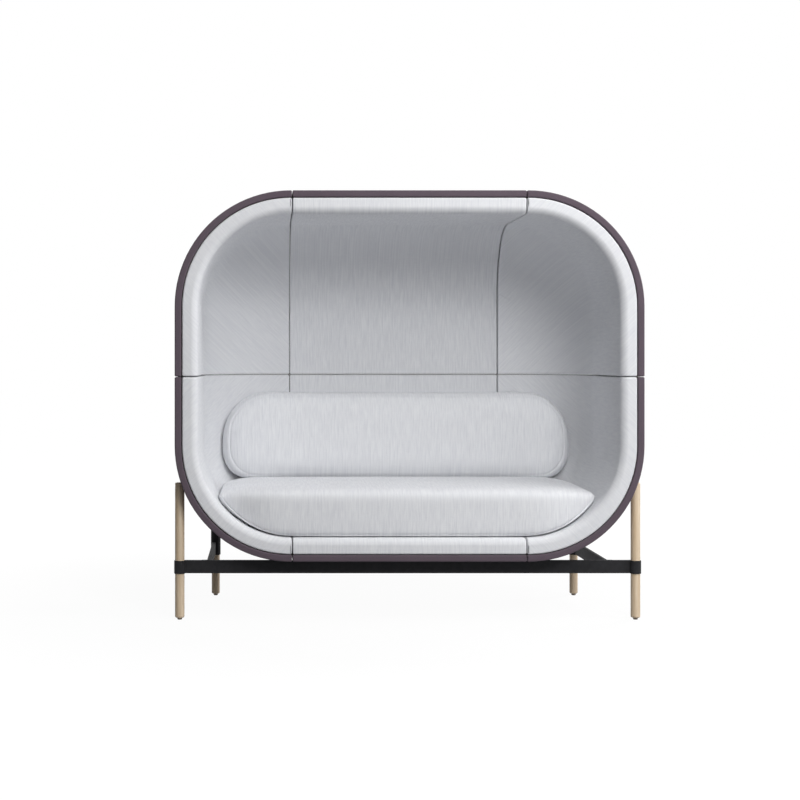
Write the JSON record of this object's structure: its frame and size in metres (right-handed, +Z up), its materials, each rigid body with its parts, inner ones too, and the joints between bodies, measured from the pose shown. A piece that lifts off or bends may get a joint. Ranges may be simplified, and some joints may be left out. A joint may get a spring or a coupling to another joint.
{
  "type": "acoustic high back lounge",
  "caption": "High back acoustic lounge with a hooded padded shell, loose seat cushion and bolster, on a steel rail underframe with round timber legs.",
  "frame": {"origin": "on the floor, under the middle of the shell", "axes": "+Z up, +X to the right as seen from the open front, -Y out of the open front"},
  "size_m": [1.582, 0.73, 1.446],
  "materials": {
    "outer_fabric": "fine woven wool blend, aubergine grey, matte",
    "inner_fabric": "woven wool blend, pale cool grey with slub threads, matte",
    "plywood": "moulded birch ply, stained dark",
    "black_steel": "black powder coat, satin",
    "leg_timber": "turned pale ash, matte lacquer",
    "glide_plastic": "moulded black",
    "rubber": "moulded black",
    "zinc_steel": "zinc plated"
  },
  "bodies": {
    "shell_and_frame": {"cover_upper_left": "outer_fabric", "board_upper_left": "plywood", "pad_upper_left": "inner_fabric", "cover_upper_centre": "outer_fabric", "board_upper_centre": "plywood", "pad_upper_centre": "inner_fabric", "cover_upper_right": "outer_fabric", "board_upper_right": "plywood", "pad_upper_right": "inner_fabric", "cover_lower_left": "outer_fabric", "board_lower_left": "plywood", "pad_lower_left": "inner_fabric", "cover_lower_centre": "outer_fabric", "board_lower_centre": "plywood", "pad_lower_centre": "inner_fabric", "cover_lower_right": "outer_fabric", "board_lower_right": "plywood", "pad_lower_right": "inner_fabric", "front_rail": "black_steel", "side_rail_left": "black_steel", "front_leg_left": "leg_timber", "rear_leg_left": "leg_timber", "front_glide_left": "glide_plastic", "rear_glide_left": "glide_plastic", "shell_rest_left": "rubber", "shell_spacer_left": "rubber", "shell_bolt_left": "zinc_steel", "leg_top_bolt_left": "zinc_steel", "collar_screw_left": "zinc_steel", "upright_screw_left": "zinc_steel", "plate_screw_left_1": "zinc_steel", "rail_bolt_left_1": "zinc_steel", "plate_screw_left_2": "zinc_steel", "rail_bolt_left_2": "zinc_steel", "side_rail_right": "black_steel", "front_leg_right": "leg_timber", "rear_leg_right": "leg_timber", "front_glide_right": "glide_plastic", "rear_glide_right": "glide_plastic", "shell_rest_right": "rubber", "shell_spacer_right": "rubber", "shell_bolt_right": "zinc_steel", "leg_top_bolt_right": "zinc_steel", "collar_screw_right": "zinc_steel", "upright_screw_right": "zinc_steel", "plate_screw_right_1": "zinc_steel", "rail_bolt_right_1": "zinc_steel", "plate_screw_right_2": "zinc_steel", "rail_bolt_right_2": "zinc_steel", "joining_plate_upper_left": "zinc_steel", "joining_plate_upper_right": "zinc_steel", "joining_plate_lower_left": "zinc_steel", "joining_plate_lower_right": "zinc_steel", "joining_plate_middle_left": "zinc_steel", "joining_plate_middle_right": "zinc_steel"},
    "seat_cushion": {"seat_cushion": "inner_fabric"},
    "back_bolster": {"back_bolster": "inner_fabric"}
  },
  "joints": [
    {"name": "seat_lift_out", "type": "slide", "parent": "shell_and_frame", "child": "seat_cushion", "axis": [0, -0.9397, 0.342], "range_m": [0, 0.7]},
    {"name": "bolster_lift_out", "type": "slide", "parent": "seat_cushion", "child": "back_bolster", "axis": [0, -0.866, 0.5], "range_m": [0, 0.9]}
  ]
}
